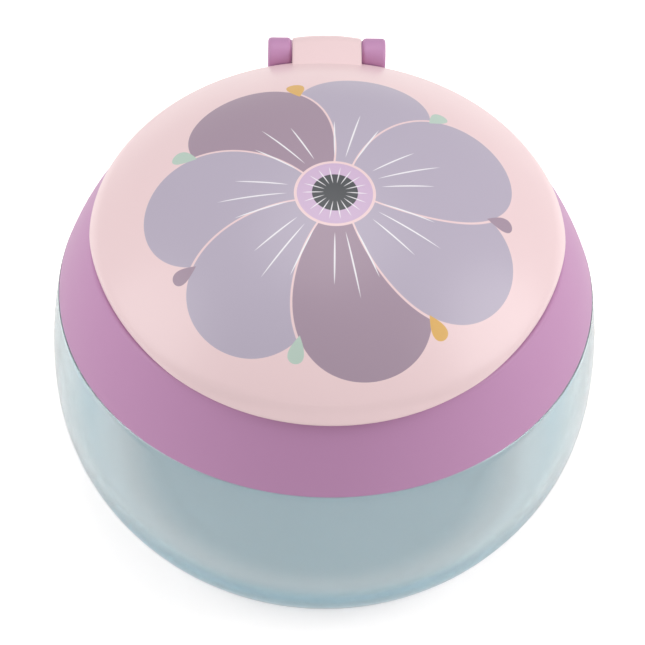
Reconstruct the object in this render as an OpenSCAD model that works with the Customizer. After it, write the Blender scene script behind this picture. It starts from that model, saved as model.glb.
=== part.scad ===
// Toddler snack container: a ball-shaped bowl closed by a twist-lock collar, with a soft
// flap guard in the collar's mouth and a domed lid on a pinned hinge.
// Millimetres, +Z up. The origin is the middle of the base, the front is -Y and the hinge is at +Y.

/* [Bowl] */
// Largest radius of the ball-shaped body, at the bowl's belly
body_r = 55.2; // [52:0.2:58]
// Height of the belly above the table
belly_z = 34.6; // [32:0.2:40]
// Height of the seam, where the collar meets the bowl, above the belly
seam_rise = 13.4; // [9:0.2:15]
// Radius of the belly's curve in profile
belly_curve = 98; // [80:1:110]
// Radius of the tighter curve under the belly
heel_curve = 44; // [34:1:48]
// Radius of the rounded foot
foot_r = 8; // [6.5:0.5:9.5]
// Lean of the wall where the rounded foot starts, in degrees
foot_angle = 37.5; // [34:0.5:41]
// Thickness of the bowl's wall
bowl_wall = 2.2; // [1.6:0.1:2.8]
// Thickness of the bowl's floor at its middle
floor_t = 2.6; // [2:0.1:4]
// Depth of the hollow under the floor
foot_hollow = 0.6; // [0.4:0.1:1]
// Width of the flat ring that the bowl stands on
foot_ring_w = 6; // [4:0.5:9]
// Height of the neck above the seam
neck_h = 8; // [7.5:0.5:9]
// Thickness of the neck
neck_wall = 2; // [1.5:0.1:2.5]

/* [Collar] */
// Height of the collar, from the seam to the deck that the lid closes on
collar_h = 16.2; // [15.4:0.2:17.6]
// How far the collar's upper edge lies inside the belly
rim_in = 7.6; // [6.6:0.1:8.2]
// Radius of the collar's curve in profile
collar_curve = 62; // [55:1:75]
// Rounding of the collar's upper edge, which shows where the lid is drawn in
edge_round = 1.2; // [0.6:0.1:1.6]
// Thickness of the collar's wall
collar_wall = 2; // [1.6:0.1:2.2]
// Thickness of the deck
deck_t = 2; // [1.6:0.1:2.4]
// Width of the deck, from the collar's upper edge to the mouth that the hand goes through
deck_w = 10.6; // [10:0.2:12]
// Thickness of the raised lip round the mouth
mouth_lip_t = 2; // [1.5:0.1:2.5]
// Height of the raised lip above the deck
mouth_lip_h = 3.2; // [2:0.1:4]
// Space between the collar's wall and the skirt that holds the flap guard
skirt_room = 1.2; // [0.8:0.1:1.6]
// Thickness of that skirt
skirt_t = 1.3; // [1:0.1:1.6]

/* [Twist lock] */
// Number of lugs on the neck, and of ledges in the collar
lock_count = 3; // [2:1:4]
// Length of each ledge, in degrees
lock_arc = 28; // [20:1:34]
// Height of a lug or a ledge
lock_t = 2; // [1.6:0.1:2.2]
// Height of the ledges above the seam
ledge_rise = 1; // [0.8:0.1:1.4]
// Width of the stop at a lug's closed end, in degrees
stop_arc = 3; // [2:0.5:5]

/* [Lid] */
// Height of the lid's top above the collar's deck
lid_h = 20.8; // [19:0.2:22]
// Radius of the rounded shoulder between dome and skirt
shoulder_round = 8; // [5:0.5:18]
// Length of the lid's straight skirt, from rim to shoulder
lid_skirt = 1.4; // [1.4:0.1:3]
// Lean of the lid's skirt, in degrees
lid_lean = 28; // [24:1:30]
// How far the lid's rim stands out past the collar's upper edge
lid_over = 0.6; // [0:0.1:0.9]
// Rounding of the rim's outer edge
rim_round = 0.3; // [0.2:0.1:0.6]
// Thickness of the lid
lid_wall = 2; // [1.5:0.1:2.2]
// Thickness of the rib that closes round the mouth
rib_t = 1.4; // [1:0.1:2]
// How far the front of the rim stands out as a thumb lip
thumb_lip = 1.1; // [0.5:0.1:1.6]
// How far forward the thumb lip's cone is set: the more, the narrower the lip
thumb_shift = 5.2; // [3.5:0.1:6]
// Height at which the thumb lip runs out into the shoulder
thumb_h = 3.2; // [2:0.1:5]
// How far the rim is trimmed in on each side of the thumb lip
flank_in = 1.1; // [0.6:0.1:1.6]
// Place of that flank, in degrees round from the front
flank_turn = 64; // [60:1:70]
// Radius of the flank's curve, which is flatter than the rim's
flank_curve = 60; // [56:1:70]

/* [Hinge] */
// Distance of the hinge's axis behind the collar's upper edge
hinge_out = 2.2; // [1.9:0.1:2.6]
// Height of the hinge's axis above the collar's deck
hinge_rise = 1.7; // [1.4:0.1:2]
// Radius of the knuckle and of the lugs
barrel_r = 3.4; // [3.1:0.1:3.5]
// Width of the lid's knuckle
knuckle_w = 14.2; // [10:0.2:18]
// Width of each of the collar's two lugs
lug_w = 4.7; // [3.5:0.1:6]
// Radius of the hinge pin
pin_r = 1.25; // [1:0.05:1.5]
// Plastic left in front of the pin's blind end
pin_cover = 1.2; // [0.8:0.1:2]
// Height of the lugs' legs above the neck, where they leave the collar's wall
leg_over = 1; // [0.6:0.2:2]

/* [Flap guard] */
// Distance of each flap's straight root inside the mouth's edge
root_in = 10; // [8:0.5:12]
// Thickness of the flaps and of the sheet round them
sheet_t = 1.2; // [0.8:0.1:1.4]
// Thickness of the guard's clamped edge
edge_t = 1.8; // [1.6:0.1:2.2]
// Width of the clamped edge
edge_w = 6.5; // [5:0.5:7]
// Width of the slits between the flaps
slit_w = 0.5; // [0.3:0.1:0.8]
// Rounding of each flap's tip
tip_round = 1.1; // [0.6:0.1:2]
// Thickness of the clamp ring
clamp_t = 1.8; // [1.4:0.1:2]
// Height of the small beads that the clamp ring snaps behind
bead_h = 0.8; // [0.6:0.1:1]
// How far the beads stand in from the skirt
bead_in = 0.6; // [0.4:0.1:0.8]
// Number of those beads
bead_count = 6; // [4:1:8]
// Length of each bead, in degrees
bead_arc = 14; // [8:1:20]

/* [Clearances] */
// Between the collar's lower edge and the bowl's shoulder
seam_gap = 0.3; // [0.2:0.05:0.4]
// Between the neck or its lugs and the collar's wall
neck_gap = 0.6; // [0.4:0.1:0.7]
// Between the neck's lugs and the collar's ledges
lock_gap = 0.3; // [0.2:0.05:0.4]
// Between the lid's rim and the collar's deck
lid_gap = 0.35; // [0.25:0.05:0.5]
// Between the lid's rib and the mouth's lip
rib_gap = 0.3; // [0.2:0.05:0.5]
// Round the hinge's barrels
hinge_gap = 0.3; // [0.25:0.05:0.4]
// Beside the knuckle, and beside the lugs
side_gap = 0.25; // [0.2:0.05:0.4]
// Between the hinge pin and the knuckle's bore
pin_play = 0.06; // [0.03:0.01:0.09]
// Between a flap's round root and the sheet
bend_gap = 0.3; // [0.2:0.05:0.5]
// Between the guard, its clamp ring and the skirt
guard_gap = 0.1; // [0.05:0.05:0.2]

/* [Hidden] */
$fn = 96;
flap_count = 6;
arc_steps = 10;
round_steps = 4;
overlap = 0.4;
moulded_round = 0.3;

// Corners along an arc, each [x, y, rounding] with no rounding of its own
function arc(middle, r, from, to) =
    [for (i = [0:arc_steps]) let (a = from + (to - from) * i / arc_steps)
        [middle.x + r * cos(a), middle.y + r * sin(a), 0]];
function from_second(corners) = [for (i = [1:len(corners) - 1]) corners[i]];
function without_ends(corners) = [for (i = [1:len(corners) - 2]) corners[i]];
// The middle of an arc of radius r from p to q that bulges outwards
function arc_middle(p, q, r) =
    let (half = norm(q - p) / 2, along = (q - p) / norm(q - p))
    (p + q) / 2 - sqrt(r * r - half * half) * [along.y, -along.x];
// The points of a closed outline, with each corner turned on its own rounding
function unit(v) = v / norm(v);
function flat(corner) = [corner.x, corner.y];
function softened(corners) = let (n = len(corners))
    [for (i = [0:n - 1]) each turned(flat(corners[i]), corners[i].z,
        unit(flat(corners[(i + n - 1) % n]) - flat(corners[i])),
        unit(flat(corners[(i + 1) % n]) - flat(corners[i])))];
function turned(here, r, back, ahead) = r == 0 ? [here] :
    let (half = acos(back * ahead) / 2,
         middle = here + unit(back + ahead) * r / sin(half),
         first = here + back * r / tan(half) - middle,
         last = here + ahead * r / tan(half) - middle)
    [for (k = [0:round_steps])
        middle + r * unit(first * (1 - k / round_steps) + last * k / round_steps)];

// Bowl profile: three arcs that run into each other
seam_z = belly_z + seam_rise;
belly_c = [body_r - belly_curve, belly_z];
heel_angle = asin((belly_z - foot_r - (heel_curve - foot_r) * sin(foot_angle))
    / (belly_curve - heel_curve));
heel_c = belly_c + (belly_curve - heel_curve) * [cos(heel_angle), -sin(heel_angle)];
foot_c = heel_c + (heel_curve - foot_r) * [cos(foot_angle), -sin(foot_angle)];
shoulder_z = seam_z - seam_gap;

// Collar profile
collar_rim_r = body_r - rim_in;
deck_z = seam_z + collar_h;
mouth_r = collar_rim_r - deck_w;
seam_r = belly_c.x + sqrt(pow(belly_curve, 2) - pow(seam_z - belly_z, 2));
seam_p = [seam_r, seam_z];
deck_p = [collar_rim_r, deck_z];
collar_c = arc_middle(seam_p, deck_p, collar_curve);
function collar_r(z, inset = 0) =
    collar_c.x + sqrt(pow(collar_curve - inset, 2) - pow(z - collar_c.y, 2));
deck_under = deck_z - deck_t;

// Neck and twist lock
neck_top = seam_z + neck_h;
neck_r = collar_r(neck_top, collar_wall) - neck_gap;
ledge_z = seam_z + ledge_rise;
lug_z = ledge_z + lock_t + lock_gap;
lug_r = collar_r(lug_z + lock_t, collar_wall) - neck_gap;
ledge_r = neck_r + lock_gap;

// Lid profile: straight skirt up from the rim, rounded shoulder, and the dome that meets it smoothly
rim_z = deck_z + lid_gap;
lid_rim_r = collar_rim_r + lid_over;
shoulder_c = [lid_rim_r, rim_z] + lid_skirt * [-sin(lid_lean), cos(lid_lean)]
    - shoulder_round * [cos(lid_lean), sin(lid_lean)];
top_over = deck_z + lid_h - shoulder_c.y;
dome_curve = (pow(shoulder_c.x, 2) + pow(top_over, 2) - pow(shoulder_round, 2))
    / (top_over - shoulder_round) / 2;
dome_c = [0, deck_z + lid_h - dome_curve];
shoulder_turn = asin(shoulder_c.x / (dome_curve - shoulder_round));
skirt_top = rim_z + lid_skirt * cos(lid_lean);
shoulder_top = shoulder_c.y + shoulder_round * cos(shoulder_turn);
function lid_r(z) = z < skirt_top ? lid_rim_r - (z - rim_z) * tan(lid_lean)
    : z < shoulder_top ? shoulder_c.x + sqrt(pow(shoulder_round, 2) - pow(z - shoulder_c.y, 2))
    : sqrt(pow(dome_curve, 2) - pow(z - dome_c.y, 2));
rib_r = mouth_r + mouth_lip_t + rib_gap;

// Hinge
hinge_y = collar_rim_r + hinge_out;
hinge_z = deck_z + hinge_rise;
lug_x = knuckle_w / 2 + side_gap;
hinge_half = lug_x + lug_w;
pin_len = 2 * hinge_half - pin_cover;
leg_z = neck_top + leg_over;
leg_y = sqrt(pow(collar_r(leg_z), 2) - pow(hinge_half, 2));

// Flap guard, clamped between the deck and the clamp ring
skirt_r = collar_r(deck_under, collar_wall) - skirt_room - skirt_t;
guard_r = skirt_r - guard_gap;
guard_top = deck_under;
edge_under = guard_top - edge_t;
sheet_mid = guard_top - edge_t / 2;
clamp_top = edge_under;
clamp_under = clamp_top - clamp_t;
bead_top = clamp_under - guard_gap;
skirt_under = bead_top - bead_h;
flap_root = mouth_r - root_in;
flap_half = 180 / flap_count;
root_half = (flap_root - sheet_t / 2) * tan(flap_half) - slit_w / 2 / cos(flap_half);

// A ring of rectangular section, whole or as a sector centred on the X axis
module ring(inner, outer, under, top, sweep = 360) {
    rotate([0, 0, sweep == 360 ? 0 : -sweep / 2])
        rotate_extrude(angle = sweep)
            translate([inner, under]) square([outer - inner, top - under]);
}

// A whole ring of rectangular section with rounded edges
module soft_ring(inner, outer, under, top, r) {
    rotate_extrude() polygon(softened(
        [[inner, under, r], [outer, under, r], [outer, top, r], [inner, top, r]]));
}

// A cylinder along X, centred on the hinge's axis
module on_hinge(r, from, to) {
    translate([from, hinge_y, hinge_z]) rotate([0, 90, 0]) cylinder(r = r, h = to - from);
}

// The bowl's whole section: up the outside, over the neck, and down the inside to the floor
module bowl_section() {
    hollow_r = foot_c.x - foot_ring_w;
    neck_in = neck_r - neck_wall;
    ceiling = shoulder_z - bowl_wall;
    top_angle = asin((shoulder_z - belly_z) / belly_curve);
    in_angle = asin((ceiling - belly_z) / (belly_curve - bowl_wall));
    floor_angle = asin(max(-1, (floor_t - foot_c.y) / (foot_r - bowl_wall)));
    polygon(softened(concat(
        [[0, foot_hollow, 0], [hollow_r, foot_hollow, foot_hollow / 3], [hollow_r, 0, foot_hollow / 3]],
        arc(foot_c, foot_r, -90, -foot_angle),
        from_second(arc(heel_c, heel_curve, -foot_angle, -heel_angle)),
        without_ends(arc(belly_c, belly_curve, -heel_angle, top_angle)),
        [[belly_c.x + belly_curve * cos(top_angle), shoulder_z, moulded_round],
         [neck_r, shoulder_z, moulded_round], [neck_r, neck_top, neck_wall / 3],
         [neck_in, neck_top, neck_wall / 3], [neck_in, ceiling, neck_wall / 2],
         [belly_c.x + (belly_curve - bowl_wall) * cos(in_angle), ceiling, bowl_wall / 2]],
        without_ends(arc(belly_c, belly_curve - bowl_wall, in_angle, -heel_angle)),
        arc(heel_c, heel_curve - bowl_wall, -heel_angle, -foot_angle),
        from_second(arc(foot_c, foot_r - bowl_wall, -foot_angle, floor_angle)),
        [[0, floor_t, 0]])));
}

module neck_lugs() {
    for (i = [0:lock_count - 1]) rotate([0, 0, -90 + i * 360 / lock_count]) {
        ring(neck_r - overlap, lug_r, lug_z, lug_z + lock_t, lock_arc);
        stop_turn = lock_arc / 2 + stop_arc / 2 + lock_gap;
        rotate([0, 0, -stop_turn])
            ring(neck_r - overlap, lug_r, shoulder_z - overlap, lug_z + lock_t, stop_arc);
    }
}

module bowl() {
    color("lightblue") union() {
        rotate_extrude() bowl_section();
        neck_lugs();
    }
}

// The collar's wall, deck, mouth lip and guard skirt, as one revolved section
module collar_section() {
    wall_in = collar_curve - collar_wall;
    deck_angle = asin((deck_z - collar_c.y) / collar_curve);
    seam_angle = asin((seam_z - collar_c.y) / collar_curve);
    under_angle = asin((deck_under - collar_c.y) / wall_in);
    in_angle = asin((seam_z - collar_c.y) / wall_in);
    lip_r = mouth_r + mouth_lip_t;
    lip_z = deck_z + mouth_lip_h;
    lip_round = mouth_lip_t * 0.48;
    skirt_out = skirt_r + skirt_t;
    polygon(softened(concat(
        [[collar_r(seam_z, collar_wall), seam_z, moulded_round], [seam_r, seam_z, moulded_round]],
        without_ends(arc(collar_c, collar_curve, seam_angle, deck_angle)),
        [[collar_rim_r, deck_z, edge_round],
         [lip_r, deck_z, moulded_round], [lip_r, lip_z, lip_round], [mouth_r, lip_z, lip_round],
         [mouth_r, deck_under, moulded_round], [skirt_r, deck_under, 0],
         [skirt_r, skirt_under, moulded_round], [skirt_out, skirt_under, moulded_round],
         [skirt_out, deck_under, moulded_round],
         [collar_r(deck_under, collar_wall), deck_under, moulded_round]],
        without_ends(arc(collar_c, wall_in, under_angle, in_angle)))));
}

module collar_ledges() {
    for (i = [0:lock_count - 1]) rotate([0, 0, -90 + i * 360 / lock_count])
        ring(ledge_r, collar_r(ledge_z + lock_t, collar_wall) + overlap,
             ledge_z, ledge_z + lock_t, lock_arc);
}

module clamp_beads() {
    for (i = [0:bead_count - 1]) rotate([0, 0, i * 360 / bead_count])
        ring(skirt_r - bead_in, skirt_r + overlap, skirt_under, bead_top, bead_arc);
}

// One hinge lug: a round ear on a leg that grows out of the collar's wall
module hinge_lug() {
    translate([lug_x, 0, 0]) rotate([90, 0, 90]) linear_extrude(lug_w) {
        translate([hinge_y, hinge_z]) circle(r = barrel_r);
        polygon([[hinge_y - barrel_r, hinge_z], [hinge_y - barrel_r, deck_under],
                 [leg_y, leg_z], [hinge_y + barrel_r, hinge_z]]);
    }
}

module collar() {
    color("orchid") difference() {
        union() {
            rotate_extrude() collar_section();
            collar_ledges();
            clamp_beads();
            hinge_lug();
            mirror([1, 0, 0]) hinge_lug();
        }
        on_hinge(barrel_r + hinge_gap, -lug_x, lug_x);
        on_hinge(pin_r, pin_cover - hinge_half, hinge_half + overlap);
    }
}

module hinge_pin() {
    color("silver") on_hinge(pin_r, hinge_half - pin_len, hinge_half);
}

// The lid's section, drawn inset by a wall, with the rim's outer edge rounded
module lid_outline(inset, rounding) {
    turn_up = 90 - shoulder_turn;
    skirt_end = shoulder_c + (shoulder_round - inset) * [cos(lid_lean), sin(lid_lean)];
    rim_end = skirt_end.x + (skirt_end.y - rim_z) * tan(lid_lean);
    polygon(softened(concat(
        [[0, rim_z, 0], [rim_end, rim_z, rounding]],
        arc(shoulder_c, shoulder_round - inset, lid_lean, turn_up),
        from_second(arc(dome_c, dome_curve - inset, turn_up, 90)))));
}

// A wide upright cylinder, set off centre so that it trims one flank of the rim
module flank_trim(side, inset) {
    rotate([0, 0, -90 + side * flank_turn])
        translate([lid_rim_r - flank_in - flank_curve, 0, rim_z - overlap])
            cylinder(r = flank_curve - inset, h = lid_h + overlap);
}

// The dome and its skirt as a solid, drawn inset by a wall
module lid_form(inset, rounding) {
    intersection() {
        rotate_extrude() lid_outline(inset, rounding);
        flank_trim(1, inset);
        flank_trim(-1, inset);
    }
}

// A cone set forward of the axis, which makes the rim's front stand out and fades at the sides
module thumb_lip() {
    low_r = lid_rim_r + thumb_lip - thumb_shift;
    high_r = lid_r(rim_z + thumb_h) - overlap / 4 - thumb_shift;
    translate([0, -thumb_shift, rim_z]) rotate_extrude()
        polygon(softened([[0, 0, 0], [low_r, 0, rim_round], [high_r, thumb_h, 0], [0, thumb_h, 0]]));
}

module lid_knuckle() {
    on_hinge(barrel_r, -knuckle_w / 2, knuckle_w / 2);
    translate([-knuckle_w / 2, shoulder_c.x, rim_z])
        cube([knuckle_w, hinge_y - shoulder_c.x, hinge_z + barrel_r - rim_z]);
}

module lid_rib() {
    rotate_extrude() intersection() {
        translate([rib_r, rim_z + lid_gap]) square([rib_t, lid_h]);
        lid_outline(lid_wall / 2, 0);
    }
}

module lid() {
    color("mistyrose") difference() {
        union() {
            difference() {
                union() {
                    lid_form(0, rim_round);
                    thumb_lip();
                    lid_knuckle();
                }
                lid_form(lid_wall, 0);
            }
            lid_rib();
        }
        on_hinge(pin_r + pin_play, -knuckle_w, knuckle_w);
        for (side = [0, 1]) mirror([side, 0, 0])
            on_hinge(barrel_r + hinge_gap, knuckle_w / 2, hinge_half + side_gap);
    }
}

// The soft sheet round the flaps, with a thicker clamped edge and a hole with one side per flap
module guard_rim() {
    hole_r = (flap_root + sheet_t / 2 + bend_gap) / cos(flap_half);
    color("lavender") difference() {
        union() {
            soft_ring(guard_r - edge_w, guard_r, edge_under, guard_top, moulded_round);
            ring(0, guard_r - edge_w / 2, sheet_mid - sheet_t / 2, sheet_mid + sheet_t / 2);
        }
        translate([0, 0, edge_under]) rotate([0, 0, -90 + flap_half])
            linear_extrude(edge_t) circle(r = hole_r, $fn = flap_count);
    }
}

module guard_clamp() {
    color("thistle") soft_ring(guard_r - edge_w, guard_r, clamp_under, clamp_top, moulded_round);
}

// One flap, with its straight root bent round a half-round edge
module flap(index) {
    side_y = flap_root * tan(flap_half) - slit_w / 2 / cos(flap_half);
    tip_x = slit_w / 2 / sin(flap_half);
    color("lavenderblush")
        rotate([0, 0, -90 + (index - 1) * 360 / flap_count]) translate([0, 0, sheet_mid]) {
            translate([0, 0, -sheet_t / 2]) linear_extrude(sheet_t)
                intersection() {
                    polygon(softened([[tip_x, 0, tip_round],
                        [flap_root, -side_y, 0], [flap_root, side_y, 0]]));
                    translate([0, -root_half]) square([flap_root, 2 * root_half]);
                }
            translate([flap_root, root_half, 0]) rotate([90, 0, 0])
                cylinder(r = sheet_t / 2, h = 2 * root_half);
        }
}

bowl();
collar();
hinge_pin();
guard_rim();
guard_clamp();
lid();
flap(1);  // flap_1
flap(2);  // flap_2
flap(3);  // flap_3
flap(4);  // flap_4
flap(5);  // flap_5
flap(6);  // flap_6
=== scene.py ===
# %% [markdown]
# # A toddler's snack container
#
# This container is a ball cut in three: a clear bowl, a coloured collar that twists onto it, and a
# domed lid on a hinge at the back. Under the lid a soft guard of rubber flaps lets a small hand in
# and keeps the snacks from falling out. The moving frame of the model is loaded first. It says
# where every piece is and how it moves, and the cells below give each piece its finished look.

# %% Load the frame
import math

import bmesh
import bpy
from mathutils import Matrix, Vector


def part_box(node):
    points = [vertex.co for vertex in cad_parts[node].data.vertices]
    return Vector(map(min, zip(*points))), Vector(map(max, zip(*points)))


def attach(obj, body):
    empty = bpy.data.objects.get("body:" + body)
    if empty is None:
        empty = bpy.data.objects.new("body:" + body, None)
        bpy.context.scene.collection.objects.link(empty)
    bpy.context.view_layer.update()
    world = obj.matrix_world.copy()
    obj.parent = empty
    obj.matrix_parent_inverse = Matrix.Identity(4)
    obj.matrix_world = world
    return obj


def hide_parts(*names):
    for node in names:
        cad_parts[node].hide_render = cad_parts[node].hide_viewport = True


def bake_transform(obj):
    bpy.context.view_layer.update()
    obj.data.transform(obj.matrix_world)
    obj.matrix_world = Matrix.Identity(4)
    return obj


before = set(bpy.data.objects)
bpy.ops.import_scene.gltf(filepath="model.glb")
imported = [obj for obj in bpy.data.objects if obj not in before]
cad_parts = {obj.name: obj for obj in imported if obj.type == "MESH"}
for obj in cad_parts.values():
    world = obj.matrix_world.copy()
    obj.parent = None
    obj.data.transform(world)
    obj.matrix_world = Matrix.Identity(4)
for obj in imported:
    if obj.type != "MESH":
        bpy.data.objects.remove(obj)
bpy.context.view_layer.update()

# %% [markdown]
# ## The camera first
#
# The picture looks down on the container by 49 degrees, which the flattened circle of the collar's
# lower edge gives away: a circle seen at that height is drawn 0.756 as tall as it is wide. The
# camera is also a little to the left, because the hinge isn't quite behind the middle, and it is
# rolled by two degrees. A long lens far away keeps the near and far edges at almost one scale, as
# in a catalogue picture.

# %% Camera
MM = 0.001
PHOTO_SIDE = 645
METRES_PER_PIXEL = 0.203 * MM
CAMERA_DISTANCE = 1.6
CAMERA_CLIP = (0.05, 20)
CAMERA_HEIGHT_ANGLE = math.radians(49.1)
CAMERA_SIDE_ANGLE = math.radians(-1.7)
CAMERA_ROLL = math.radians(1.95)
SEAM_IN_PHOTO = Vector((325.7, 294.4))
SEAM_Z = 48.0
SEAM_CENTRE = Vector((0, 0, SEAM_Z * MM))


def place_camera():
    """Aims a long lens so that the middle of the seam lands where the picture has it."""
    side, height = CAMERA_SIDE_ANGLE, CAMERA_HEIGHT_ANGLE
    back = Vector((math.sin(side) * math.cos(height),
                   -math.cos(side) * math.cos(height),
                   math.sin(height)))
    turn = back.to_track_quat("Z", "Y").to_matrix() @ Matrix.Rotation(CAMERA_ROLL, 3, "Z")
    right, up = turn.col[0], turn.col[1]
    middle = Vector((PHOTO_SIDE / 2, PHOTO_SIDE / 2))
    off = (SEAM_IN_PHOTO - middle) * METRES_PER_PIXEL
    target = SEAM_CENTRE - right * off.x + up * off.y
    lens = bpy.data.cameras.new("camera")
    lens.lens = lens.sensor_width * CAMERA_DISTANCE / (PHOTO_SIDE * METRES_PER_PIXEL)
    lens.clip_start, lens.clip_end = CAMERA_CLIP
    camera = bpy.data.objects.new("camera", lens)
    camera.matrix_world = Matrix.Translation(target + back * CAMERA_DISTANCE) @ turn.to_4x4()
    bpy.context.scene.collection.objects.link(camera)
    bpy.context.scene.camera = camera
    print("lens", round(lens.lens), "mm at", CAMERA_DISTANCE, "m")


place_camera()

# %% [markdown]
# ## Light
#
# The picture is a product shot on white, with hardly any shadow. A few small lamps would draw hard
# shadows and bright spots, so three large discs and an even white world are used instead. Their
# level is plain, so that each colour renders about as bright as it is written.

# %% Light
WORLD_LEVEL = 0.48
PURE_WHITE = (1, 1, 1, 1)
LAMP_SIZE = 0.70
LAMPS = {
    "right": ((0.80, -0.05, 0.50), 3.5),
    "left": ((-0.80, -0.05, 0.50), 2.6),
    "top": ((0.0, 0.25, 1.0), 2.2),
}


def light_the_scene():
    world = bpy.data.worlds.new("studio")
    world.use_nodes = True
    background = world.node_tree.nodes["Background"].inputs
    background["Color"].default_value = PURE_WHITE
    background["Strength"].default_value = WORLD_LEVEL
    bpy.context.scene.world = world
    for name, (place, watts) in LAMPS.items():
        lamp = bpy.data.lights.new(name, "AREA")
        lamp.shape, lamp.size, lamp.energy = "DISK", LAMP_SIZE, watts
        holder = bpy.data.objects.new(name, lamp)
        holder.location = place
        holder.rotation_euler = (SEAM_CENTRE - Vector(place)).to_track_quat("-Z", "Y").to_euler()
        bpy.context.scene.collection.objects.link(holder)
    print(len(LAMPS), "soft lamps and a white world")


bpy.context.scene.view_settings.view_transform = "Standard"
light_the_scene()

# %% [markdown]
# ## Helpers for node trees
#
# Materials and Geometry Nodes are both trees of nodes, and everything below is written with these
# helpers. One adds a node and fills or links its inputs, one adds a Math node, with short names
# for plain arithmetic, and one gives a tree its inputs and outputs. The last two are for colour:
# one eases a mask in between two lengths, and one goes from a colour to another by a mask.

# %% Node helpers


def join(tree, value, socket):
    """Links value to socket if it is another node's output, and otherwise types it in."""
    if isinstance(value, bpy.types.NodeSocket):
        tree.links.new(value, socket)
    else:
        socket.default_value = value


def add(tree, kind, inputs=None, **settings):
    """Adds a node, changes its settings, then fills the named or numbered inputs."""
    made = tree.nodes.new(kind)
    for name, value in settings.items():
        setattr(made, name, value)
    for name, value in (inputs or {}).items():
        join(tree, value, made.inputs[name])
    return made


def sums(tree, operation, *values):
    """One Math node, and its result."""
    return add(tree, "ShaderNodeMath", dict(enumerate(values)), operation=operation).outputs[0]


def plus(tree, first, second):
    return sums(tree, "ADD", first, second)


def minus(tree, first, second):
    return sums(tree, "SUBTRACT", first, second)


def times(tree, first, second):
    return sums(tree, "MULTIPLY", first, second)


def ratio(tree, first, second):
    return sums(tree, "DIVIDE", first, second)


def sockets(tree, in_out, named):
    """Gives a tree its named inputs or outputs, with their kinds and starting values."""
    for name, (kind, value) in named.items():
        socket = tree.interface.new_socket(name, in_out=in_out, socket_type="NodeSocket" + kind)
        if value is not None:
            socket.default_value = value


def fade(tree, value, start, end):
    """0 at the first length in millimetres and 1 at the second, eased between them."""
    return add(tree, "ShaderNodeMapRange", {"Value": value, "From Min": start * MM, "From Max": end * MM},
               interpolation_type="SMOOTHSTEP").outputs[0]


def blended(tree, factor, first, second):
    """A colour that goes from the first to the second as the factor goes from 0 to 1."""
    return add(tree, "ShaderNodeMix", {"Factor": factor, 6: first, 7: second}, data_type="RGBA").outputs[2]


# %% [markdown]
# ## The skin of moulded plastic
#
# No moulded part is a perfectly even colour. The mould leaves a very fine grain, the colour drifts
# by a percent or two across the part, and the shine is broken by faint handling marks. All the
# plastics here share one node group for this, and each material gives it its own sizes.

# %% Moulded skin group
PATCHES_PER_METRE = 22.0
SMEARS_PER_METRE, SMEAR_WARP = 90.0, 1.2
GRAIN_HEIGHT = 0.05 * MM


def tone(red, green, blue):
    """A colour as picture values from 0 to 255, turned into the linear values that shaders use."""
    values = [channel / 255 for channel in (red, green, blue)]
    return [v / 12.92 if v <= 0.04045 else ((v + 0.055) / 1.055) ** 2.4 for v in values] + [1]


def moulded_skin():
    tree = bpy.data.node_groups.new("Moulded Skin", "ShaderNodeTree")
    sockets(tree, "INPUT", {
        "Point": ("Vector", None), "Colour": ("Color", None), "Grain Size": ("Float", 0.0004),
        "Drift": ("Float", 0.02), "Shine Change": ("Float", 0.04), "Roughness": ("Float", 0.4)})
    sockets(tree, "OUTPUT", {
        "Colour": ("Color", None), "Roughness": ("Float", None), "Height": ("Float", None)})
    given = add(tree, "NodeGroupInput").outputs

    def noise(scale, detail, warp=0.0):
        return add(tree, "ShaderNodeTexNoise", {
            "Vector": given["Point"], "Scale": scale, "Detail": detail, "Distortion": warp}).outputs["Fac"]

    def either_way(fac, amount):
        """From minus to plus the amount, where the noise goes from 0 to 1."""
        off = times(tree, minus(tree, fac, 0.5), amount)
        return times(tree, off, 2.0)

    grain = noise(ratio(tree, 1.0, given["Grain Size"]), 2.0)
    lighter = plus(tree, 1.0, either_way(noise(PATCHES_PER_METRE, 3.0), given["Drift"]))
    marks = either_way(noise(SMEARS_PER_METRE, 4.0, SMEAR_WARP), given["Shine Change"])
    shade = add(tree, "ShaderNodeHueSaturation", {"Color": given["Colour"], "Value": lighter})
    rough = plus(tree, given["Roughness"], marks)
    add(tree, "NodeGroupOutput", {
        "Colour": shade.outputs["Color"], "Roughness": rough, "Height": grain})
    return tree


SKIN = moulded_skin()


def plastic(name, colour, roughness, grain_mm=0.4, grain_depth=0.1, drift=0.02, marks=0.03, more=None):
    """A material with the moulded skin, and its skin node. More fills other inputs of the shader."""
    material = bpy.data.materials.new(name)
    material.use_nodes = True
    tree = material.node_tree
    shader = tree.nodes["Principled BSDF"]
    skin = add(tree, "ShaderNodeGroup", {
        "Point": add(tree, "ShaderNodeTexCoord").outputs["Object"], "Colour": colour,
        "Grain Size": grain_mm * MM, "Drift": drift, "Shine Change": marks,
        "Roughness": roughness}, node_tree=SKIN)
    bump = add(tree, "ShaderNodeBump", {
        "Strength": grain_depth, "Distance": GRAIN_HEIGHT, "Height": skin.outputs["Height"]})
    tree.links.new(skin.outputs["Colour"], shader.inputs["Base Color"])
    tree.links.new(skin.outputs["Roughness"], shader.inputs["Roughness"])
    tree.links.new(bump.outputs["Normal"], shader.inputs["Normal"])
    for socket, value in (more or {}).items():
        shader.inputs[socket].default_value = value
    return material, skin


LID_PINK = tone(243, 214, 216)
COLLAR_PURPLE = tone(195, 141, 184)
GUARD_MILK = tone(231, 222, 235)
PIN_GREY = tone(196, 196, 200)

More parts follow.
